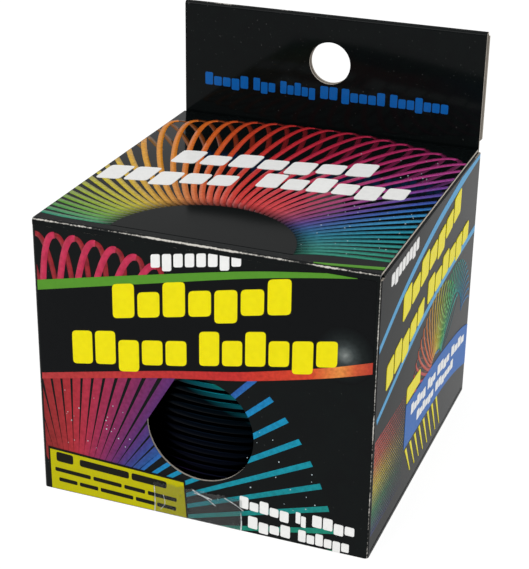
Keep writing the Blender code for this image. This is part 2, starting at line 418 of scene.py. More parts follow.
REAR = Face(
    leaf((0, BACK, 0), (-1, 0, 0), (0, 0, 1)),
    (-SIDE + EDGE, SIDE - EDGE, FLOOR + 0.1, TAB_TOP - 2.0),
    "carton",
    GLOSS,
)


def show(name, mesh, materials):
    """Put a finished mesh in the scene as one object at the origin."""
    for material in materials:
        mesh.materials.append(material)
    piece = bpy.data.objects.new(name, mesh)
    bpy.context.scene.collection.objects.link(piece)
    return piece


def settle(piece, body, slot, *replaced):
    """Say what a piece moves with and hide the CAD nodes it stands for; slot, what it is made of, is not used.
    """
    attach(piece, body)
    if replaced:
        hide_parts(*replaced)
    return piece


def mesh_from(shape, name, place=None):
    """Turn a bmesh in millimetres into a mesh in metres with its faces outward."""
    bmesh.ops.remove_doubles(shape, verts=shape.verts, dist=0.0005)
    bmesh.ops.recalc_face_normals(shape, faces=shape.faces)
    mesh = bpy.data.meshes.new(name)
    shape.to_mesh(mesh)
    shape.free()
    mesh.transform(place or Matrix.Scale(MM, 4))
    return mesh


def evaluated_mesh(carrier):
    """The plain mesh of an object with its modifiers worked out."""
    depsgraph = bpy.context.evaluated_depsgraph_get()
    return bpy.data.meshes.new_from_object(carrier.evaluated_get(depsgraph), depsgraph=depsgraph)


def punched(mesh, centre, radius, low, high):
    """Cut a round hole along Y through a mesh in metres."""
    tool = bmesh.new()
    turn = Matrix.Translation((centre[0], (low + high) / 2, centre[1]))
    turn = turn @ Euler((math.radians(90), 0, 0)).to_matrix().to_4x4()
    sizes = {"segments": HOLE_SIDES, "radius1": radius, "radius2": radius, "depth": high - low}
    bmesh.ops.create_cone(tool, cap_ends=True, matrix=turn, **sizes)
    cutter = show("cutter", mesh_from(tool, "cutter"), ())
    target = show("target", mesh, ())
    cut = target.modifiers.new("cut", "BOOLEAN")
    cut.operation = "DIFFERENCE"
    cut.object = cutter
    result = evaluated_mesh(target)
    for part in (cutter, target):
        bpy.data.objects.remove(part)
    return result


def in_hole(centre, normal, hole, radius):
    """Whether a face lies on the wall of a hole cut along Y."""
    across = Vector((centre.x - hole[0], centre.z - hole[1])).length
    return across < radius + 0.02 and abs(normal.y) < 0.7


def sort_faces(mesh, rule):
    """Give each face its board side: printed, cut edge or inside."""
    for face in mesh.polygons:
        face.material_index = rule(face.center / MM, face.normal)


def mark_wear(mesh, amount, name="crease"):
    """Store how hard each point is worn, from 0 to 1."""
    layer = mesh.attributes.new(name, "FLOAT", "POINT")
    for point, vertex in enumerate(mesh.vertices):
        layer.data[point].value = amount(vertex.co / MM)


def smooth_shade(mesh, angle=35.0):
    """Smooth the rounds and keep the board's edges sharp."""
    mesh.shade_smooth()
    mesh.set_sharp_from_angle(angle=math.radians(angle))


# ---------------------------------------------------------------- the board


def plan_ring(inset):
    """The carton's outline in plan with rounded corners, moved inward by the inset."""
    points = []
    near, far = FRONT + CORNER, BACK - CORNER
    corners = ((1, near, -90), (1, far, 0), (-1, far, 90), (-1, near, 180))
    for side, y, first in corners:
        for step in range(CORNER_STEPS + 1):
            angle = math.radians(first + 90 * step / CORNER_STEPS)
            radius = CORNER - inset
            points.append((side * (SIDE - CORNER) + radius * math.cos(angle), y + radius * math.sin(angle)))
    return points


def build_sleeve():
    """Front, sides and back of the carton in one folded wall that runs up into the tab."""
    shape = bmesh.new()
    rings = [
        [shape.verts.new((x, y, z)) for x, y in plan_ring(inset)]
        for inset in (0.0, BOARD)
        for z in (FLOOR, WALL_TOP)
    ]
    outer_low, outer_high, inner_low, inner_high = rings
    count = len(outer_low)
    back_span = 2 * CORNER_STEPS + 1
    for first in range(count):
        second = (first + 1) % count
        shape.faces.new((outer_low[first], outer_low[second], outer_high[second], outer_high[first]))
        shape.faces.new((inner_low[second], inner_low[first], inner_high[first], inner_high[second]))
        shape.faces.new((outer_low[second], outer_low[first], inner_low[first], inner_low[second]))
        if first != back_span:
            shape.faces.new((outer_high[first], outer_high[second], inner_high[second], inner_high[first]))
    section = [outer_high[back_span], outer_high[back_span + 1]]
    section += [inner_high[back_span + 1], inner_high[back_span]]
    for half, z in ((SIDE - CORNER, NOTCH_FOOT), (SIDE, NOTCH_TOP), (SIDE, TAB_TOP - TAB_FOLD - 0.1)):
        corners = ((half, BACK), (-half, BACK), (-half, BACK - BOARD), (half, BACK - BOARD))
        upper = [shape.verts.new((x, y, z)) for x, y in corners]
        for first in range(4):
            second = (first + 1) % 4
            shape.faces.new((section[first], section[second], upper[second], upper[first]))
        section = upper
    shape.faces.new(section)
    mesh = mesh_from(shape, "carton_sleeve")
    mesh = punched(mesh, WINDOW, WINDOW_RADIUS, FRONT - 1, FRONT + 1)
    mesh = punched(mesh, HANG_HOLE, HANG_HOLE_RADIUS, BACK - 1, BACK + 1)

    def side_of(centre, normal):
        if abs(normal.z) > 0.7:
            return CUT
        if centre.y < FRONT + BOARD and in_hole(centre, normal, WINDOW, WINDOW_RADIUS):
            return CUT
        if centre.y > BACK - BOARD and in_hole(centre, normal, HANG_HOLE, HANG_HOLE_RADIUS):
            return CUT
        if centre.z > WALL_TOP and abs(normal.y) < 0.7:
            return CUT
        outward = Vector((centre.x, centre.y - MIDDLE)).dot(normal.to_2d())
        return PRINTED if outward > 0 else INSIDE

    # Strong pale mark on the vertical creases: partly wear, partly a painted highlight along these edges.
    def worn(point):
        across = abs(point.x) - (SIDE - CORNER)
        along = abs(point.y - MIDDLE) - ((BACK - FRONT) / 2 - CORNER)
        if across < 0.01 or along < 0.01:
            return 0.0
        return 0.9 * (1 - abs(math.atan2(along, across) / math.radians(45) - 1))

    def on_side(point):
        flat = abs(point.y - MIDDLE) < (BACK - FRONT) / 2 - CORNER + 0.01
        return 1.0 if flat and abs(point.x) > SIDE - 0.01 else 0.0

    sort_faces(mesh, side_of)
    mark_wear(mesh, worn)
    mark_wear(mesh, on_side, "rubbed")
    smooth_shade(mesh)
    piece = show("carton_sleeve", mesh, BOARD_SIDES)
    walls = ("front_panel", "left_side_panel", "right_side_panel", "back_panel")
    settle(piece, "carton", "printed_board", *walls)


def straight_pair(across, z, face_across, face_z):
    """One station of a folded strip: its outer point and the point a board thickness in."""
    return (across, z), (across - face_across * BOARD, z - face_z * BOARD)


def round_pairs(across, z, radius, first, last, steps):
    """Stations round a crease about its centre, between two angles in degrees."""
    pairs = []
    for step in range(steps + 1):
        angle = math.radians(first + (last - first) * step / steps)
        outward = (math.cos(angle), math.sin(angle))
        reaches = (radius, max(radius - BOARD, 0.05))
        pairs.append(tuple((across + reach * outward[0], z + reach * outward[1]) for reach in reaches))
    return pairs


def folded_strip(name, pairs, low, high, spans, axis="x", ragged=0.0):
    """A board that follows the paired outer and inner points and runs straight along one axis."""
    shape = bmesh.new()
    rows = []
    for step in range(spans + 1):
        along = low + (high - low) * step / spans
        row = []
        for across, z in (point for pair in pairs for point in pair):
            lift = 0.0
            if ragged and 0 < step < spans:
                lift = ragged * noise.noise(Vector((along * 2.3, across * 3.0, z * 3.0)))
            spot = (along, across, z + lift) if axis == "x" else (across, along, z + lift)
            row.append(shape.verts.new(spot))
        rows.append(row)
    stations = len(pairs)
    for near, far in zip(rows, rows[1:]):
        for a in range(0, 2 * stations - 2, 2):
            shape.faces.new((near[a], near[a + 2], far[a + 2], far[a]))
            shape.faces.new((near[a + 3], near[a + 1], far[a + 1], far[a + 3]))
        for a, b in ((1, 0), (2 * stations - 2, 2 * stations - 1)):
            shape.faces.new((near[a], near[b], far[b], far[a]))
    for row in (rows[0], rows[-1]):
        for a in range(0, 2 * stations - 2, 2):
            shape.faces.new((row[a], row[a + 1], row[a + 3], row[a + 2]))
    return mesh_from(shape, name)


def nearest_side(pairs):
    """A rule that sorts a folded strip's faces by whether they lie on its outer or inner points."""

    def distance(spot, line):
        best = math.inf
        for first, second in zip(line, line[1:]):
            first = Vector(first)
            run = Vector(second) - first
            share = max(0.0, min(1.0, (spot - first).dot(run) / max(run.length_squared, 1e-9)))
            best = min(best, (spot - first - run * share).length)
        return best

    def rule(across, z):
        to_outer, to_inner = (distance(Vector((across, z)), line) for line in zip(*pairs))
        if min(to_outer, to_inner) > 0.08:
            return CUT
        return PRINTED if to_outer < to_inner else INSIDE

    return rule


def crease_strip(name, pairs, low, high, axis, worn=1.0):
    """The short curved board of a crease, which bends between the wall and the flap."""
    mesh = folded_strip(name, pairs, low, high, 120, axis, 0.03)
    rule = nearest_side(pairs)
    across = 1 if axis == "x" else 0

    def side_of(centre, normal):
        return PRINTED if abs(normal[1 - across]) > 0.7 else rule(centre[across], centre.z)

    def amount(point):
        spot = Vector((point[across], point.z))
        gaps = [(spot - Vector(outer)).length for outer, _ in pairs]
        station = gaps.index(min(gaps))
        if gaps[station] > 0.1:
            return 0.0
        return worn * (1 - abs(2 * station / (len(pairs) - 1) - 1)) ** 0.6

    sort_faces(mesh, side_of)
    mark_wear(mesh, amount)
    smooth_shade(mesh)
    piece = show(name, mesh, BOARD_SIDES)
    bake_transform(piece)


def build_lid():
    """Lid with its rounded rear crease, and the worn crease that hinges it to the front."""
    front_end = FRONT + FOLD + 0.3
    pairs = [straight_pair(front_end, LID_TOP, 0, 1)]
    pairs += round_pairs(LID_REAR - FOLD, LID_TOP - FOLD, FOLD, 90, 0, 5)
    pairs += [straight_pair(LID_REAR, tuck_high.z + 0.05, 1, 0)]
    mesh = folded_strip("lid_board", pairs, -LID_SIDE, LID_SIDE, 1)
    rule = nearest_side(pairs)

    def worn(point):
        return 0.55 if point.y > LID_REAR - 0.4 * FOLD and point.z > LID_TOP - FOLD else 0.0

    sort_faces(mesh, lambda centre, normal: CUT if abs(normal.x) > 0.7 else rule(centre.y, centre.z))
    mark_wear(mesh, worn)
    smooth_shade(mesh)
    settle(show("lid_board", mesh, BOARD_SIDES), "lid", "printed_board", "lid_panel")

    pairs = [straight_pair(FRONT, WALL_TOP, -1, 0)]
    pairs += round_pairs(FRONT + FOLD, LID_TOP - FOLD, FOLD, 180, 90, 8)
    pairs += [straight_pair(front_end, LID_TOP, 0, 1)]
    crease_strip("front_lid_crease", pairs, -LID_SIDE, LID_SIDE, "x")


def rounded(corners, radius, steps=4):
    """An outline with its corners rounded; one radius, or one for each corner."""
    radii = radius if isinstance(radius, list) else [radius] * len(corners)
    points = []
    for place, corner in enumerate(corners):
        here = Vector(corner)
        before = Vector(corners[place - 1])
        after = Vector(corners[(place + 1) % len(corners)])
        room = min((before - here).length, (after - here).length) / 2
        cut = min(radii[place], room * 0.98)
        if cut < 0.01:
            points.append(tuple(here))
            continue
        first = here + (before - here).normalized() * cut
        last = here + (after - here).normalized() * cut
        for step in range(steps + 1):
            share = step / steps
            spot = first * (1 - share) ** 2 + here * (2 * share * (1 - share)) + last * share**2
            points.append(tuple(spot))
    return points


def flat_board(name, place, outline, body, replaced):
    """A flat leaf of board: printed on its outer side, grey inside, with raw bevelled edges."""
    shape = bmesh.new()
    face = shape.faces.new([shape.verts.new((u, v, 0)) for u, v in outline])
    extruded = bmesh.ops.extrude_face_region(shape, geom=[face])
    for part in extruded["geom"]:
        if isinstance(part, bmesh.types.BMVert):
            part.co.z = -BOARD
    rims = [edge for edge in shape.edges if abs(edge.verts[0].co.z - edge.verts[1].co.z) < 1e-6]
    bmesh.ops.bevel(shape, geom=rims, offset=0.06, segments=1, affect="EDGES")
    mesh = mesh_from(shape, name, place)
    out = place.to_3x3().normalized().col[2]

    def side_of(_, normal):
        facing = normal.dot(out)
        if abs(facing) < 0.95:
            return CUT
        return PRINTED if facing > 0 else INSIDE

    sort_faces(mesh, side_of)
    mark_wear(mesh, lambda point: 0.0)
    settle(show(name, mesh, BOARD_SIDES), body, "flap_board", replaced)


def rectangle(left, right, low, high):
    """Corners of a rectangle, anticlockwise from the lower left."""
    return [(left, low), (right, low), (right, high), (left, high)]


def build_flaps():
    """Tuck flap, dust flaps and the folded bottom."""
    lean = math.atan2(tuck_high.y - BOARD - tuck_low.y, tuck_high.z - tuck_low.z)
    reach = (tuck_high.z - tuck_low.z) / math.cos(lean)
    place = leaf((0, LID_REAR, tuck_high.z), (1, 0, 0), (0, -math.sin(lean), -math.cos(lean)))
    outline = rounded(rectangle(-tuck_high.x, tuck_high.x, 0, reach), [0, 0, 7.0, 7.0], 8)
    flat_board("lid_tuck_board", place, outline, "lid_tuck", "lid_tuck_flap")

    free = -dust_high.x
    crease_x = SIDE - FOLD - 0.3
    taper = (SIDE - free) * 0.5
    for side, name in ((-1, "left"), (1, "right")):
        outline = [
            (side * crease_x, dust_low.y),
            (side * free, dust_low.y + taper),
            (side * free, dust_high.y - 1.5),
            (side * crease_x, dust_high.y),
        ]
        outline = rounded(outline, [0, 4.0, 4.0, 0])
        place = leaf((0, 0, FLAP_TOP), (1, 0, 0), (0, 1, 0))
        flap = name + "_dust_flap"
        flat_board(name + "_dust_board", place, outline, flap, name + "_top_dust_flap")
        pairs = [straight_pair(side * SIDE, WALL_TOP, side, 0)]
        pairs += round_pairs(side * (SIDE - FOLD), FLAP_TOP - FOLD, FOLD, 90 - 90 * side, 90, 6)
        pairs += [straight_pair(side * crease_x, FLAP_TOP, 0, 1)]
        crease_strip(name + "_flap_crease", pairs, dust_low.y, dust_high.y, "y", 0.6)

    place = leaf((0, 0, FLOOR), (1, 0, 0), (0, -1, 0))
    outline = rectangle(-base_high.x, base_high.x, -base_high.y, -base_low.y)
    flat_board("bottom_board", place, outline, "carton", "bottom_panel")
    low, high = sides("bottom_tuck_flap")
    place = leaf((0, low.y, low.z), (1, 0, 0), (0, 0, 1))
    outline = rounded(rectangle(low.x, high.x, 0, high.z - low.z), [0, 0, 5.0, 5.0], 6)
    flat_board("bottom_tuck_board", place, outline, "carton", "bottom_tuck_flap")
    for name, radii in (("left", [0, 4.0, 4.0, 0]), ("right", [4.0, 0, 0, 4.0])):
        low, high = sides(name + "_bottom_dust_flap")
        place = leaf((0, 0, low.z), (1, 0, 0), (0, -1, 0))
        outline = rounded(rectangle(low.x, high.x, -high.y, -low.y), radii)
        flat_board(name + "_bottom_dust_board", place, outline, "carton", name + "_bottom_dust_flap")
    low, high = sides("glue_flap")
    place = leaf((0, high.y, 0), (-1, 0, 0), (0, 0, 1))
    slope = 3.0
    outline = [(-high.x, low.z + slope), (-low.x, low.z), (-low.x, high.z), (-high.x, high.z - slope)]
    flat_board("glue_flap_board", place, outline, "carton", "glue_flap")


def build_tab():
    """Front ply of the hang tab, folded over the top to meet the back wall."""
    crown = TAB_TOP - TAB_FOLD
    pairs = [straight_pair(TAB_FACE, ply_low.z, -1, 0)]
    pairs += round_pairs(TAB_FACE + TAB_FOLD, crown, TAB_FOLD, 180, 0, 14)
    mesh = folded_strip("hang_tab_ply", pairs, -LID_SIDE, LID_SIDE, 1)
    mesh = punched(mesh, HANG_HOLE, HANG_HOLE_RADIUS, TAB_FACE - 1, TAB_FACE + 1)
    rule = nearest_side(pairs)

    def side_of(centre, normal):
        if abs(normal.x) > 0.7 or in_hole(centre, normal, HANG_HOLE, HANG_HOLE_RADIUS):
            return CUT
        return rule(centre.y, centre.z)

    sort_faces(mesh, side_of)
    mark_wear(mesh, lambda point: 0.74 * max(0.0, (point.z - crown) / TAB_FOLD))
    smooth_shade(mesh)
    settle(show("hang_tab_ply", mesh, BOARD_SIDES), "carton", "printed_board", "hang_tab_front_ply")


# ---------------------------------------------------------------- printed shapes


def clipped(outline, area):
    """The part of a convex or nearly convex outline inside a leaf's printed area."""
    left, right, low, high = area
    points = list(outline)
    for axis, limit, inward in ((0, left, 1), (0, right, -1), (1, low, 1), (1, high, -1)):
        kept = []
        for place, point in enumerate(points):
            before = points[place - 1]
            inside = (point[axis] - limit) * inward >= 0
            if inside != ((before[axis] - limit) * inward >= 0):
                share = (limit - before[axis]) / (point[axis] - before[axis])
                kept.append(tuple(b + (p - b) * share for b, p in zip(before, point)))
            if inside:
                kept.append(point)
        points = kept
    return points


def signed_area(points):
    """Twice the area of an outline, positive when it runs anticlockwise."""
    return sum(a[0] * b[1] - b[0] * a[1] for a, b in zip(points, points[1:] + points[:1]))


def dimmed(stops, share):
    """The same colours printed darker."""
    result = []
    for position, colour in stops:
        channels = [int(int(colour[start : start + 2], 16) * share) for start in (0, 2, 4)]
        result.append((position, "%02x%02x%02x" % tuple(channels)))
    return result


PLAIN_INKS = {}


def plain_ink(name, dull):
    """A solid ink, made once for each gloss."""
    key = (name, dull)
    if key not in PLAIN_INKS:
        full = COLOURS[name]
        pale = dimmed([(0, full)], 0.985)[0][1]
        title = "ink_" + name if dull < RUBBED else "rubbed_ink_" + name
        PLAIN_INKS[key] = printing_ink(title, (pale, full), dull=dull)
    return PLAIN_INKS[key]


def film(name, face, outlines, layer, ink):
    """A thin closed film for each outline, in a named plain ink or another finish."""
    shape = bmesh.new()
    for outline in outlines:
        points = clipped(outline, face.area)
        if len(points) < 3 or abs(signed_area(points)) < 0.02:
            continue
        if signed_area(points) < 0:
            points.reverse()
        foot, crown = ([shape.verts.new((u, v, z)) for u, v in points] for z in (-SINK, layer * INK))
        shape.faces.new(crown)
        shape.faces.new(list(reversed(foot)))
        for first in range(len(points)):
            second = (first + 1) % len(points)
            shape.faces.new((foot[first], foot[second], crown[second], crown[first]))
    mesh = bpy.data.meshes.new(name)
    shape.to_mesh(mesh)
    shape.free()
    mesh.transform(face.place)
    if isinstance(ink, str):
        ink = plain_ink(ink, face.dull)
    return settle(show(name, mesh, (ink,)), face.body, "printed_board")


def flowing(points, steps=8):
    """A smooth line through a few points."""
    ends = [points[0]] + list(points) + [points[-1]]
    line = []
    for place in range(len(points) - 1):
        a, b, c, d = (Vector(ends[place + k]) for k in range(4))
        for step in range(steps):
            t = step / steps
            spot = 2 * b + (c - a) * t + (2 * a - 5 * b + 4 * c - d) * t**2
            spot += (3 * b - a - 3 * c + d) * t**3
            line.append(tuple(spot / 2))
    line.append(tuple(points[-1]))
    return line


def ribbon(points, first_width, last_width):
    """Outline of a strip along a smooth line, its width changing from end to end."""
    line = flowing(points)
    left = []
    right = []
    for place, spot in enumerate(line):
        before = Vector(line[max(place - 1, 0)])
        along = (Vector(line[min(place + 1, len(line) - 1)]) - before).normalized()
        half = (first_width + (last_width - first_width) * place / (len(line) - 1)) / 2
        side = Vector((-along.y, along.x)) * half
        left.append(tuple(Vector(spot) + side))
        right.append(tuple(Vector(spot) - side))
    return left + right[::-1]


def words(*rows, gap=0.13):
    """Plain rounded blocks in rows, each given by start, end, letters, tall and small height and seed."""
    outlines = []
    for start, end, letters, tall, small, seed in rows:
        start = Vector(start)
        run = Vector(end) - start
        for letter in range(letters):
            high = letter == 0 or (letter * 5 + seed) % 4 == 0
            low = -0.28 * small if (letter * 3 + seed) % 5 == 4 else 0.0
            first = start + run * (letter / letters)
            last = start + run * ((letter + 1 - gap) / letters)
            rise = tall if high else small
            corners = [(first.x, first.y + low), (last.x, last.y + low)]
            corners += [(last.x, last.y + rise), (first.x, first.y + rise)]
            outlines.append(rounded(corners, 0.17 * min(run.length / letters, small), 3))
    return outlines


def bars(start, end, height, shares):
    """A line of small print: plain bars for its words, given by their shares of the line."""
    start = Vector(start)
    run = Vector(end) - start
    outlines = []
    done = 0.0
    for share in shares:
        first = start + run * (done / sum(shares))
        last = start + run * ((done + share - 0.35) / sum(shares))
        corners = [first, last, last + Vector((0, height)), first + Vector((0, height))]
        outlines.append(rounded(corners, 0.3 * height, 3))
        done += share
    return outlines


def arc(centre, radius, first, last, steps=24):
    """Points along an arc, angles in degrees."""
    angles = [math.radians(first + (last - first) * step / steps) for step in range(steps + 1)]
    return [(centre[0] + radius * math.cos(angle), centre[1] + radius * math.sin(angle)) for angle in angles]


def ray(centre, angle, inner, outer, root, tip, hole):
    """A printed bar pointing away from a centre, from one width to another, with a round hole left out."""
    angle = math.radians(angle)
    direction = Vector((math.cos(angle), math.sin(angle)))
    side = Vector((-direction.y, direction.x)) / 2
    centre = Vector(centre)
    edges = []
    for sign in (-1, 1):
        near = centre + direction * inner + side * root * sign
        far = centre + direction * outer + side * tip * sign
        edges.append((near, far))
    whole = [edges[0][0], edges[0][1], edges[1][1], edges[1][0]]
    middle, radius = Vector(hole[0]), hole[1]
    enters = []
    leaves = []
    for near, far in edges:
        run = (far - near).normalized()
        along = (middle - near).dot(run)
        aside = (middle - near - run * along).length
        if aside >= radius:
            return [[tuple(point) for point in whole]]
        half = math.sqrt(radius**2 - aside**2)
        length = (far - near).length
        enters.append((along - half, near + run * min(along - half, length)))
        leaves.append((along + half, near + run * min(max(along + half, 0.0), length)))
    pieces = []
    if min(value for value, _ in enters) > 0:
        pieces.append([whole[0], enters[0][1], enters[1][1], whole[3]])
    if max(value for value, _ in leaves) < outer - inner:
        pieces.append([leaves[0][1], whole[1], whole[2], leaves[1][1]])
    return [[tuple(point) for point in piece] for piece in pieces]


def sparkles(area, count, seed):
    """Small printed specks of light scattered over a part of the artwork."""
    chance = random.Random(seed)
    left, right, low, high = area
    specks = []
    for _ in range(count):
        centre = (chance.uniform(left, right), chance.uniform(low, high))
        specks.append(arc(centre, chance.uniform(0.07, 0.17), 0, 300, 5))
    return specks


# ---------------------------------------------------------------- Geometry Nodes trees


def new_tree(name, floats, counts, finish):
    """An empty Geometry Nodes tree with named inputs and one geometry output."""
    tree = bpy.data.node_groups.new(name, "GeometryNodeTree")
    for kind, labels in (("Float", floats), ("Int", counts), ("Material", (finish,))):
        for label in labels:
            tree.interface.new_socket(label, in_out="INPUT", socket_type="NodeSocket" + kind)
    tree.interface.new_socket("Geometry", in_out="OUTPUT", socket_type="NodeSocketGeometry")
    return tree, tree.nodes.new("NodeGroupInput").outputs


def close_tree(tree, geometry, finish):
    """End a tree in Realize Instances and Set Material."""
    real = add(tree, "GeometryNodeRealizeInstances", None, geometry)
    painted = add(tree, "GeometryNodeSetMaterial", None, real, Material=finish)
    tree.links.new(painted.outputs[0], tree.nodes.new("NodeGroupOutput").inputs[0])
    return tree


def flatten_film(tree, geometry, film_height):
    """Give a swept strip a flat top at the film's height and a flat foot inside the board."""
    spot = add(tree, "ShaderNodeSeparateXYZ", None, add(tree, "GeometryNodeInputPosition")).outputs
    upper = add(tree, "ShaderNodeMath", "GREATER_THAN", spot["Z"], 0.0)
    rise = add(tree, "ShaderNodeMath", "ADD", film_height, SINK)
    rise = add(tree, "ShaderNodeMath", "MULTIPLY", upper, rise)
    level = add(tree, "ShaderNodeMath", "SUBTRACT", rise, SINK)
    flat = add(tree, "ShaderNodeCombineXYZ", None, spot["X"], spot["Y"], level)
    return add(tree, "GeometryNodeSetPosition", None, geometry, Position=flat)


def ring_fan_tree():
    """Printed coil rings that fan out round a centre: each is a narrow loop seen from the side."""
    floats = ("First Angle", "Pitch Angle", "Inner Radius", "Outer Radius")
    floats += ("Half Width", "Strip Width", "Sweep", "Film Height")
    tree, given = new_tree("printed_ring_fan", floats, ("Rings",), "Ink")
    line = add(tree, "GeometryNodeCurvePrimitiveLine")
    path = add(tree, "GeometryNodeResampleCurve", None, Curve=line, Count=26)
    factor = add(tree, "GeometryNodeSplineParameter").outputs["Factor"]
    turn = add(tree, "ShaderNodeMath", "POWER", factor, 1.6)
    turn = add(tree, "ShaderNodeMath", "MULTIPLY", turn, given["Sweep"])
    total = add(tree, "ShaderNodeMath", "ADD", given["Outer Radius"], given["Inner Radius"])
    span = add(tree, "ShaderNodeMath", "SUBTRACT", given["Outer Radius"], given["Inner Radius"])
    out = add(tree, "ShaderNodeMath", "MULTIPLY", add(tree, "ShaderNodeMath", "COSINE", turn), span)
    radial = add(tree, "ShaderNodeMath", "MULTIPLY", add(tree, "ShaderNodeMath", "ADD", total, out), 0.5)
    swell = add(tree, "ShaderNodeMath", "POWER", add(tree, "ShaderNodeMath", "SINE", turn), 0.8)
    aside = add(tree, "ShaderNodeMath", "MULTIPLY", swell, given["Half Width"])
    spot = add(tree, "ShaderNodeCombineXYZ", None, radial, aside)
    strand = add(tree, "GeometryNodeSetPosition", None, path, Position=spot)
    strand = add(tree, "GeometryNodeSetCurveNormal", {"mode": "Z_UP"}, strand)
    profile = add(tree, "GeometryNodeCurvePrimitiveQuadrilateral", None, given["Strip Width"], 0.1)
    inputs = {"Curve": strand, "Profile Curve": profile, "Fill Caps": True}
    strip = flatten_film(tree, add(tree, "GeometryNodeCurveToMesh", None, **inputs), given["Film Height"])
    points = add(tree, "GeometryNodePoints", None, given["Rings"])
    angle = add(tree, "ShaderNodeMath", "MULTIPLY", add(tree, "GeometryNodeInputIndex"), given["Pitch Angle"])
    angle = add(tree, "ShaderNodeMath", "ADD", angle, given["First Angle"])
    rotation = add(tree, "FunctionNodeEulerToRotation", None, add(tree, "ShaderNodeCombineXYZ", None, Z=angle))
    fan = add(tree, "GeometryNodeInstanceOnPoints", None, Points=points, Instance=strip, Rotation=rotation)
    return close_tree(tree, fan, given["Ink"])


def halftone_tree():
    """A grid of printed dots that shrink along one direction."""
    floats = ("Width", "Height", "Largest Dot", "Smallest Dot", "Film Height")
    tree, given = new_tree("halftone_dots", floats, ("Columns", "Rows"), "Ink")
    sizes = [given[label] for label in ("Width", "Height", "Columns", "Rows")]
    grid = add(tree, "GeometryNodeMeshGrid", None, *sizes)
    dot = add(tree, "GeometryNodeMeshCylinder", {"fill_type": "NGON"}, Vertices=8, Radius=1.0, Depth=0.1)
    dot = flatten_film(tree, dot, given["Film Height"])
    spot = add(tree, "ShaderNodeSeparateXYZ", None, add(tree, "GeometryNodeInputPosition")).outputs
    share = add(tree, "ShaderNodeMath", "DIVIDE", spot["X"], given["Width"])
    share = add(tree, "ShaderNodeMath", "ADD", share, 0.5)
    span = add(tree, "ShaderNodeMath", "SUBTRACT", given["Smallest Dot"], given["Largest Dot"])
    size = add(tree, "ShaderNodeMath", "MULTIPLY", share, span)
    size = add(tree, "ShaderNodeMath", "ADD", size, given["Largest Dot"])
    scale = add(tree, "ShaderNodeCombineXYZ", None, size, size, 1.0)
    field = add(tree, "GeometryNodeInstanceOnPoints", None, Points=grid, Instance=dot, Scale=scale)
    return close_tree(tree, field, given["Ink"])


def coil_tree():
    """A flat strip wound on edge into a helix."""
    floats = ("Turns", "Mean Radius", "Rise", "Strip Width", "Strip Thickness", "Edge Radius")
    tree, given = new_tree("wound_coil", floats, (), "Plastic")
    radius = given["Mean Radius"]
    path = add(tree, "GeometryNodeCurveSpiral", None, 64, given["Turns"], radius, radius, given["Rise"])
    path = add(tree, "GeometryNodeSetCurveNormal", {"mode": "Z_UP"}, path)
    sizes = (given["Strip Width"], given["Strip Thickness"])
    profile = add(tree, "GeometryNodeCurvePrimitiveQuadrilateral", None, *sizes)
    inputs = {"Curve": profile, "Radius": given["Edge Radius"], "Count": 2}
    profile = add(tree, "GeometryNodeFilletCurve", {"mode": "POLY"}, **inputs)
    inputs = {"Curve": path, "Profile Curve": profile, "Fill Caps": True}
    return close_tree(tree, add(tree, "GeometryNodeCurveToMesh", None, **inputs), given["Plastic"])


def grown(name, tree, values):
    """The plain mesh that a tree makes with its named inputs set."""
    carrier = show(name, bpy.data.meshes.new("carrier"), ())
    modifier = carrier.modifiers.new("grow", "NODES")
    modifier.node_group = tree
    for socket in tree.interface.items_tree:
        if socket.in_out == "INPUT":
            modifier[socket.identifier] = values[socket.name]
    mesh = evaluated_mesh(carrier)
    carrier.modifiers.remove(modifier)
    bpy.data.objects.remove(carrier)
    mesh.name = name
    mesh.materials.clear()
    return mesh


def printed_on(name, mesh, face, centre, ink):
    """Move a flat mesh to its centre on a face, trim it to the printed area and close the cuts."""
    mesh.transform(Matrix.Translation((*centre, 0.0)))
    shape = bmesh.new()
    shape.from_mesh(mesh)
    left, right, low, high = face.area
    for spot, outward in (
        ((left, 0, 0), (-1, 0, 0)),
        ((right, 0, 0), (1, 0, 0)),
        ((0, low, 0), (0, -1, 0)),
        ((0, high, 0), (0, 1, 0)),
    ):
        everything = list(shape.verts) + list(shape.edges) + list(shape.faces)
        cut = {"geom": everything, "dist": 1e-6, "plane_co": spot, "plane_no": outward}
        bmesh.ops.bisect_plane(shape, clear_outer=True, **cut)
        open_edges = [edge for edge in shape.edges if edge.is_boundary]
        bmesh.ops.holes_fill(shape, edges=open_edges, sides=0)
    bmesh.ops.recalc_face_normals(shape, faces=shape.faces)
    shape.to_mesh(mesh)
    shape.free()
    mesh.transform(face.place)
    settle(show(name, mesh, (ink,)), face.body, "printed_board")


RING_FAN = ring_fan_tree()
HALFTONE = halftone_tree()
COIL = coil_tree()


def ring_fan(name, face, centre, ink, layer, rings, first, pitch, inner, outer, half_width, strip, sweep):
    """Print a fan of coil rings on a face; angles are given in degrees."""
    given = {
        "Rings": rings,
        "First Angle": math.radians(first),
        "Pitch Angle": math.radians(pitch),
        "Inner Radius": inner,
        "Outer Radius": outer,
        "Half Width": half_width,
        "Strip Width": strip,
        "Sweep": math.radians(sweep),
        "Film Height": layer * INK,
        "Ink": ink,
    }
    printed_on(name, grown(name, RING_FAN, given), face, centre, ink)


def round_stops(stops):
    """Ramp stops for colours placed by angle in degrees round a centre."""
    return [(angle / 360 + 0.5, colour) for angle, colour in stops]


# ---------------------------------------------------------------- artwork of each face


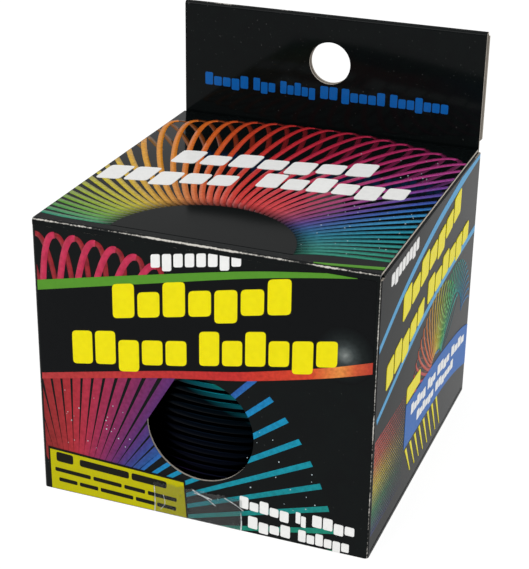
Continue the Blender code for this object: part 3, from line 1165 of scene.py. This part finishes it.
def print_lid():
    """A rainbow coil that arches round a dark half disc, under two lines of white blocks."""
    centre = (-1.0, -36.0)
    inner = 17.3
    far_stops = [
        (4, "3f9a5a"),
        (14, "2f9f86"),
        (27, "1f98a6"),
        (38, "3f9ed0"),
        (45, "2a62b8"),
        (52, "7446a0"),
        (58, "b8468f"),
        (68, "b8326e"),
        (83, "c32a48"),
        (94, "cf2f34"),
        (103, "d9482a"),
        (113, "e8762a"),
        (126, "e8a432"),
        (140, "dcc83c"),
        (153, "9fb43a"),
        (166, "3f963c"),
        (177, "1f8a80"),
    ]
    near_stops = [
        (6, "3a9079"),
        (18, "3f8d88"),
        (30, "2f7f96"),
        (40, "3f68a0"),
        (47, "5f4f98"),
        (54, "934876"),
        (62, "bc4f62"),
        (70, "de4c52"),
        (94, "df4540"),
        (108, "de6044"),
        (120, "d68548"),
        (132, "d8a544"),
        (144, "ccbc3c"),
        (156, "a4b63e"),
        (168, "6aa64a"),
        (177, "4a9a76"),
    ]
    rows = (("_behind", 0.55, 1, -5.2, 1.1, 75), ("", 1.0, 2, 5.2, 1.25, 178))
    for ending, share, layer, half_width, strip, sweep in rows:
        core = (round_stops(dimmed(near_stops, share)), inner, 46.0)
        stops = round_stops(dimmed(far_stops, share))
        ink = printing_ink("ink_lid_rings" + ending, stops, "RADIAL", LID_FACE, centre, core=core)
        sizes = (50, 0.5, 3.63, inner, 71.0, half_width, strip, sweep)
        ring_fan("lid_rings" + ending, LID_ART, centre, ink, layer, *sizes)
    film("lid_disc", LID_ART, [arc(centre, inner + 1.1, 0, 180, 64)], 3, "disc")
    stripe = ribbon([(22.0, -36.9), (29.0, -35.6), (36.0, -34.2)], 0.7, 1.3)
    film("lid_green_stripe", LID_FACE, [stripe], 4, "green")
    specks = sparkles((17.0, 33.0, -31.0, -6.0), 26, 5) + sparkles((10.0, 34.0, 8.0, 26.0), 12, 6)
    film("lid_sparkles", LID_FACE, specks, 4, "sparkle")
    blocks = words(
        ((-23.5, 1.6), (19.0, 9.2), 7, 8.0, 6.0, 2),
        ((-33.6, -13.0), (-5.6, -6.8), 5, 8.2, 6.2, 3),
        ((-1.8, -5.0), (29.0, -0.8), 6, 8.2, 6.2, 2),
    )
    film("lid_title_blocks", LID_FACE, blocks, 5, "white")


def print_front():
    """Ray fan, stripes, title blocks, label and small print round the window."""
    centre = (-28.0, -7.0)
    hole = (WINDOW, WINDOW_RADIUS + 0.03)
    bar_stops = [
        (0, "2f8f4f"),
        (11, "1d8a70"),
        (20, "158a90"),
        (30, "1494ac"),
        (41, "1788be"),
        (48, "2f58a8"),
        (54, "6a3a98"),
        (64, "a03078"),
        (76, "bb2a52"),
        (90, "c4303c"),
        (104, "a82c30"),
    ]
    strand_stops = [
        (47, "2a5a9c"),
        (53, "3c4088"),
        (59, "5c2f70"),
        (66, "7c2c60"),
        (74, "9c2e54"),
        (82, "b03046"),
        (90, "ae3038"),
        (104, "8f2c2c"),
    ]
    fans = (
        ("rays", bar_stops, 9, 7.0, 4.95, (15.0, 57.2, 0.75, 1.25)),
        ("strands", strand_stops, 17, 49.0, 3.85, (15.0, 46.0, 1.05, 2.15)),
    )
    for name, stops, count, first, pitch, sizes in fans:
        ink = printing_ink("ink_front_" + name, round_stops(stops), "RADIAL", FRONT_FACE, centre)
        fan = [part for step in range(count) for part in ray(centre, first + pitch * step, *sizes, hole)]
        film("front_" + name, FRONT_FACE, fan, 1, ink)

    for ending, colours, layer, half_width, strip in (
        ("_behind", ("7a2029", "98282f"), 2, -3.6, 1.1),
        ("", ("b02c4a", "c63456"), 3, 3.6, 1.35),
    ):
        ink = printing_ink("ink_front_loops" + ending, colours)
        sizes = (9, 72.5, 3.85, 24.0, 64.2, half_width, strip, 80)
        ring_fan("front_loops" + ending, FRONT_FACE, centre, ink, layer, *sizes)

    green_line = [(-36, 45.7), (-10, 51.5), (8.5, 55.5), (20, 57.5), (30.5, 59.0)]
    red_line = [(-36, 25.8), (-10, 31.3), (0, 33.1), (10, 34.9), (25, 38.6), (36, 42.0)]
    band = [(36, 61.5)] + flowing(green_line)[::-1] + flowing(red_line)
    film("front_title_band", FRONT_FACE, [band], 4, "deep_black")
    film("front_green_stripe", FRONT_FACE, [ribbon(green_line, 2.1, 0.75)], 5, "green")
    # Painted highlight: the red ramp turns orange and pale near x = 28 mm, under the painted highlight spot.
    stops = [(0.0, "b83c3e"), (0.6, "c8322f"), (0.82, "d8482c"), (0.9, "f0964a")]
    stops += [(0.94, "d8603a"), (1.0, "b43430")]
    ink = printing_ink("ink_front_red_stripe_with_painted_highlight", stops, "X", FRONT_FACE, (-35.0, 0.0), 70.0)
    film("front_red_stripe", FRONT_FACE, [ribbon(red_line, 1.3, 2.3)], 5, ink)
    # Painted highlight: a soft pale grey spot fading to black over the title band, laid on as a film.
    stops = [(0.0, "8a908d"), (0.12, "6a716f"), (0.3, "3c4343"), (0.55, "1c2222"), (0.8, "0e1314")]
    stops += [(0.97, COLOURS["deep_black"])]
    glow = (28.8, 43.0)
    ink = printing_ink("ink_front_painted_highlight", stops, "SPHERICAL", FRONT_FACE, glow, 6.0)
    film("front_painted_highlight", FRONT_FACE, [arc(glow, 5.9, 0, 352, 36)], 4.5, ink)
    specks = sparkles((-30.0, -13.0, 11.0, 26.0), 22, 7) + sparkles((9.0, 24.0, 6.0, 24.0), 16, 8)
    film("front_sparkles", FRONT_FACE, specks, 2, "sparkle")

    blocks = words(
        ((-18.0, 41.9), (18.9, 49.4), 7, 7.2, 5.3, 2),
        ((-27.0, 30.4), (-2.0, 34.7), 5, 7.2, 5.3, 3),
        ((0.0, 35.2), (28.0, 40.4), 6, 7.2, 5.3, 2),
    )
    film("front_title_blocks", FRONT_FACE, blocks, 6, "yellow")
    small = words(((-9.8, 53.9), (8.8, 57.3), 8, 2.7, 2.7, 1), gap=0.2)
    film("front_small_title", FRONT_FACE, small, 6, "white")
    small = words(
        ((8.5, 5.6), (19.0, 4.9), 5, 2.7, 1.9, 2),
        ((20.2, 4.9), (22.4, 4.7), 2, 2.5, 1.9, 1),
        ((23.6, 4.9), (32.4, 4.6), 4, 2.6, 1.9, 3),
        ((10.3, 1.4), (19.4, 0.9), 4, 2.7, 1.9, 1),
        ((20.8, 0.9), (31.4, 0.7), 6, 2.6, 1.9, 2),
    )
    film("front_small_print", FRONT_FACE, small, 6, "white")

    label = [(-33.5, 0.0), (-2.5, 0.0), (-3.2, 8.8), (-33.6, 10.1)]
    film("front_label_edge", FRONT_FACE, [label], 5, "label_dark")
    label = [(-33.1, 0.4), (-2.9, 0.4), (-3.5, 8.4), (-33.2, 9.6)]
    film("front_label", FRONT_FACE, [label], 6, "label")
    lines = bars((-26.5, 6.9), (-6.6, 6.1), 1.6, (7, 5))
    lines += bars((-32.2, 4.6), (-4.4, 3.5), 0.9, (5, 4, 3, 4))
    lines += bars((-31.4, 2.3), (-4.6, 1.4), 0.9, (3, 3, 5, 3, 3))
    lines.append(rounded([(-31.8, 7.0), (-28.0, 6.85), (-28.0, 9.0), (-31.8, 9.2)], 0.5))
    film("front_label_lines", FRONT_FACE, lines, 7, "label_dark")


def print_tab():
    """One line of blue words across the tab."""
    spans = ((-29.8, -19.3, 5), (-18.0, -12.8, 3), (-11.5, -3.3, 5))
    spans += ((-2.0, 2.0, 2), (3.0, 13.0, 5), (14.2, 27.3, 7))
    rows = [((first, 66.8), (last + 0.3, 66.8), letters, 2.9, 2.1) for first, last, letters in spans]
    film("tab_words", TAB, words(*((*row, seed) for seed, row in enumerate(rows))), 1, "blue")


def print_side(name, face):
    """Arcs, title blocks, a small arched coil, a blue band and a halftone corner."""
    stops = [(0.0, "15265c"), (0.25, "2a7a48"), (0.5, "c9b22a"), (0.75, "c2502a"), (1.0, "a82c30")]
    ink = printing_ink(name + "_ink_halftone", stops, "Y", face, (0.0, 5.0), 21.0)
    given = {"Width": 20.0, "Height": 20.0, "Columns": 25, "Rows": 25}
    given |= {"Largest Dot": 0.42, "Smallest Dot": 0.12, "Film Height": INK, "Ink": ink}
    title = name + "_halftone"
    printed_on(title, grown(title, HALFTONE, given), face, (-26.0, 15.0), ink)

    sky = [ribbon([(-37, 44.6), (-20, 50.5), (0, 55.0), (20, 57.5), (38, 58.9)], 1.4, 2.2)]
    sky += [ribbon([(-36, 29.6), (-13, 36.0), (0, 38.3), (15, 40.0), (38, 41.2)], 1.3, 1.6)]
    film(name + "_arcs", face, sky, 1, "sky")

    near = [(10, "1f7fb0"), (35, "1a9a9a"), (60, "3f9f4a"), (95, "c9b82a"), (130, "d0682a"), (165, "b8283c")]
    far = [(10, "1f6fa8"), (60, "1a8f96"), (110, "2f9f70"), (170, "8fae3a")]
    fans = (
        ("rings_behind", dimmed(near, 0.5), (8.0, 19.0), 1, (20, 34.0, 7.2, 5.0, 19.5, -1.6, 0.5, 150)),
        ("rings", near, (8.0, 19.0), 2, (20, 34.0, 7.2, 5.0, 19.5, 1.6, 0.62, 178)),
        ("far_rings", far, (21.0, 24.0), 1.5, (23, 2.0, 8.0, 7.5, 14.5, 1.2, 0.5, 178)),
    )
    for ending, stops, centre, layer, sizes in fans:
        ink = printing_ink(name + "_ink_" + ending, round_stops(stops), "RADIAL", face, centre)
        ring_fan(name + "_" + ending, face, centre, ink, layer, *sizes)

    band = flowing([(-15, 22.3), (8, 21.6), (28, 19.5), (38, 17.0)])
    band += flowing([(-15, 12.2), (10, 11.6), (25, 10.0), (38, 7.0)])[::-1]
    film(name + "_band", face, [band], 3, "blue")
    rays = []
    for step in range(8):
        top = -14.0 + 3.4 * step
        foot = 4.2 - 0.2 * step
        rays.append([(top, 11.6), (top + 1.1, 11.6), (top + 5.2, foot), (top + 4.9, foot)])
    rays.append(rounded([(-15, 22.6), (-5, 22.9), (-5, 26.0), (-15, 26.2)], 0.6))
    film(name + "_rays", face, rays, 4, "yellow")

    blocks = words(
        ((-21.5, 43.6), (21.5, 51.0), 7, 5.6, 4.2, 2),
        ((-31.0, 33.5), (-5.0, 38.6), 5, 5.2, 4.0, 3),
        ((-3.0, 39.3), (30.5, 41.8), 6, 5.2, 4.0, 2),
    )
    film(name + "_title_blocks", face, blocks, 5, "yellow")
    small = words(((-31.0, 55.0), (-12.3, 55.7), 8, 2.4, 2.4, 1), gap=0.2)
    small += words(
        ((-11.0, 18.2), (0.5, 17.6), 5, 2.4, 1.7, 2),
        ((2.0, 17.5), (8.5, 17.1), 3, 2.4, 1.7, 1),
        ((10.0, 16.9), (20.5, 16.0), 4, 2.4, 1.7, 3),
        ((22.0, 15.8), (34.0, 14.4), 4, 2.4, 1.7, 2),
        ((-6.0, 14.4), (7.5, 13.7), 6, 2.2, 1.6, 2),
        ((9.0, 13.5), (24.5, 12.2), 6, 2.2, 1.6, 3),
    )
    film(name + "_small_print", face, small, 5, "white")


def print_back():
    """A plain back: stripes, a title row and lines of small print."""
    stripe = ribbon([(-36, 47.5), (-10, 51.0), (12, 53.5), (36, 55.5)], 1.8, 1.0)
    film("back_green_stripe", REAR, [stripe], 1, "green")
    film("back_red_stripe", REAR, [ribbon([(-36, 31.5), (0, 34.0), (36, 36.0)], 1.3, 1.8)], 1, "red")
    film("back_title_blocks", REAR, words(((-22.0, 38.0), (22.0, 42.0), 7, 6.0, 4.6, 2)), 1, "yellow")
    lines = []
    for row, shares in enumerate(((6, 3, 5, 7, 4), (4, 6, 3, 5, 6), (5, 5, 4, 7), (3, 6, 5))):
        height = 24.0 - 3.4 * row
        lines += bars((-27.0, height), (-26.0 + 2.2 * sum(shares), height), 1.3, shares)
    film("back_small_print", REAR, lines, 1, "white")


# ---------------------------------------------------------------- tape and coil


def build_tape():
    """Clear tape over the bottom front edge, with a torn end and a few wrinkles."""
    left, right = tape_low.x, tape_high.x
    outer = tape_low.y
    thick = 0.06
    rise = tape_high.z
    bend = 0.45
    start = 0.51
    path = [(FRONT + 9.0, thick), (FRONT + 0.5, thick)]
    path += arc((outer + 0.5, start), bend, 270, 180, 4)
    path += [(outer + 0.05, start + (rise - start) * step / 28) for step in range(1, 29)]
    columns = 64
    shape = bmesh.new()
    outside = []
    inside = []
    for column in range(columns + 1):
        x = left + (right - left) * column / columns
        outside.append([])
        inside.append([])
        for place, (y, z) in enumerate(path):
            end = max(0.0, (z - rise + 1.6) / 1.6)
            torn = end * (0.45 * noise.noise(Vector((x * 0.9, 3.0, 0.0))) - 0.25)
            ridge = math.exp(-(((z - 5.5 - (5.8 - x) * 0.9) / 0.35) ** 2))
            ridge += math.exp(-(((z - 7.0 - (1.0 - x) * 0.35) / 0.3) ** 2)) * 0.8
            lift = 0.03 * ridge if place > 7 else 0.0
            spot = Vector((x, y - lift, z + torn))
            into = Vector((0, thick if place > 1 else 0.0, thick if place < 4 else 0.0))
            outside[-1].append(shape.verts.new(spot))
            inside[-1].append(shape.verts.new(spot + into))
    stations = range(len(path) - 1)
    for column in range(columns):
        for place in stations:
            for sheet, flip in ((outside, 1), (inside, -1)):
                corners = [sheet[column][place], sheet[column + 1][place]]
                corners += [sheet[column + 1][place + 1], sheet[column][place + 1]]
                shape.faces.new(corners[::flip])
        for place in (0, len(path) - 1):
            corners = [outside[column][place], outside[column + 1][place]]
            shape.faces.new(corners + [inside[column + 1][place], inside[column][place]])
    for column in (0, columns):
        for place in stations:
            corners = [outside[column][place], outside[column][place + 1]]
            shape.faces.new(corners + [inside[column][place + 1], inside[column][place]])
    mesh = mesh_from(shape, "clear_tape")
    smooth_shade(mesh, 50)
    settle(show("clear_tape", mesh, (clear_tape(),)), "carton", "clear_tape", "closure_tape")
    # Pale streaks on the tape's edges and wrinkles: partly stress whitening, partly painted highlights.
    creases = [
        ribbon([(left + 0.15, 0.3), (left + 0.25, 3.0), (left + 0.1, rise - 1.2)], 0.16, 0.12),
        ribbon([(right - 0.2, 0.2), (right - 0.1, 2.0), (right - 0.25, 4.2)], 0.3, 0.12),
        ribbon([(-1.6, 7.2), (0.4, 6.4), (2.6, 5.9)], 0.1, 0.22),
        ribbon([(-1.2, 6.6), (1.2, 6.0), (3.4, 4.6)], 0.08, 0.16),
        ribbon([(5.3, rise - 0.6), (7.4, 6.0), (9.3, 4.9)], 0.14, 0.08),
        ribbon([(-8.6, 1.0), (-7.6, 2.6), (-7.9, 4.6)], 0.06, 0.1),
    ]
    film("tape_creases", FRONT_FACE, creases, 8, tape_whitening_and_painted_highlight())


def build_coil():
    """The toy itself: one strip wound on edge, its ends free."""
    plastic = metallised_plastic_with_painted_shade_and_highlight()
    rise = COIL_TURNS * COIL_PITCH
    given = {
        "Turns": float(COIL_TURNS),
        "Mean Radius": COIL_MEAN_RADIUS,
        "Rise": rise,
        "Strip Width": COIL_STRIP,
        "Strip Thickness": COIL_THICK,
        "Edge Radius": 0.35,
        "Plastic": plastic,
    }
    mesh = grown("spring_coil", COIL, given)
    place = Matrix.Translation((0, COIL_AXIS_Y, COIL_FOOT + COIL_THICK / 2))
    mesh.transform(Matrix.Scale(MM, 4) @ place @ Matrix.Rotation(math.radians(-90), 4, "Z"))
    smooth_shade(mesh, 50)
    piece = show("spring_coil", mesh, (plastic,))
    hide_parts("coil_base_turn", "coil_middle_turns", "coil_top_turn")
    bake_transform(piece)


# ---------------------------------------------------------------- stage, light and camera


def soft_light(name, spot, size, power):
    """One square soft box turned towards the middle of the carton."""
    lamp = bpy.data.lights.new(name, "AREA")
    lamp.shape = "SQUARE"
    lamp.size = size
    lamp.energy = power
    holder = bpy.data.objects.new(name, lamp)
    holder.location = spot
    aim = Vector((0, 0, 0.03))
    holder.rotation_euler = (aim - Vector(spot)).to_track_quat("-Z", "Y").to_euler()
    bpy.context.scene.collection.objects.link(holder)


def build_stage():
    """White sweep, grey-white surround and three soft boxes."""
    shape = bmesh.new()
    bmesh.ops.create_grid(shape, x_segments=2, y_segments=2, size=30.0)
    mesh = bpy.data.meshes.new("floor")
    shape.to_mesh(mesh)
    shape.free()
    material, tree = blank("matt_white_sweep")
    glow = {"Emission_Color": "ffffff", "Emission_Strength": 0.92}
    surface(tree, Base_Color="707070", Roughness=0.95, Specular_IOR_Level=0.1, **glow)
    floor = show("floor", mesh, (material,))
    floor.location.z = -0.00002
    world = bpy.data.worlds.new("surround")
    world.use_nodes = True
    background = world.node_tree.nodes["Background"].inputs
    background["Color"].default_value = linear("ffffff")
    background["Strength"].default_value = 0.5
    bpy.context.scene.world = world
    soft_light("top_box", (-0.1, 0.0, 1.0), 1.1, 3.4)
    soft_light("front_box", (-0.35, -0.85, 0.75), 0.6, 3.4)
    soft_light("right_box", (0.95, -0.15, 0.6), 0.5, 0.9)
    bpy.context.scene.view_settings.view_transform = "Standard"


def build_camera():
    """Long lens from the right front, a little above."""
    azimuth, elevation, roll = (math.radians(value) for value in (20.55, 24.4, 0.92))
    flat = math.cos(elevation)
    back = Vector((math.sin(azimuth) * flat, -math.cos(azimuth) * flat, math.sin(elevation)))
    level = Vector((math.cos(azimuth), math.sin(azimuth), 0))
    upright = back.cross(level)
    right = level * math.cos(roll) + upright * math.sin(roll)
    up = upright * math.cos(roll) - level * math.sin(roll)
    spot = Vector((0, -0.9, 35.0)) - right * 0.68 + up * 1.68 + back * 316.83
    lens = bpy.data.cameras.new("camera")
    lens.sensor_width = 36.0
    lens.sensor_fit = "HORIZONTAL"
    lens.lens = 102.22
    lens.clip_start = 0.01
    camera = bpy.data.objects.new("camera", lens)
    camera.matrix_world = Matrix.Translation(spot * MM) @ Matrix((right, up, back)).transposed().to_4x4()
    bpy.context.scene.collection.objects.link(camera)
    bpy.context.scene.camera = camera


build_camera()
build_stage()
build_sleeve()
build_lid()
build_flaps()
build_tab()
build_tape()
build_coil()
print_lid()
print_front()
print_tab()
print_side("right", RIGHT)
print_side("left", LEFT)
print_back()

bpy.context.view_layer.update()
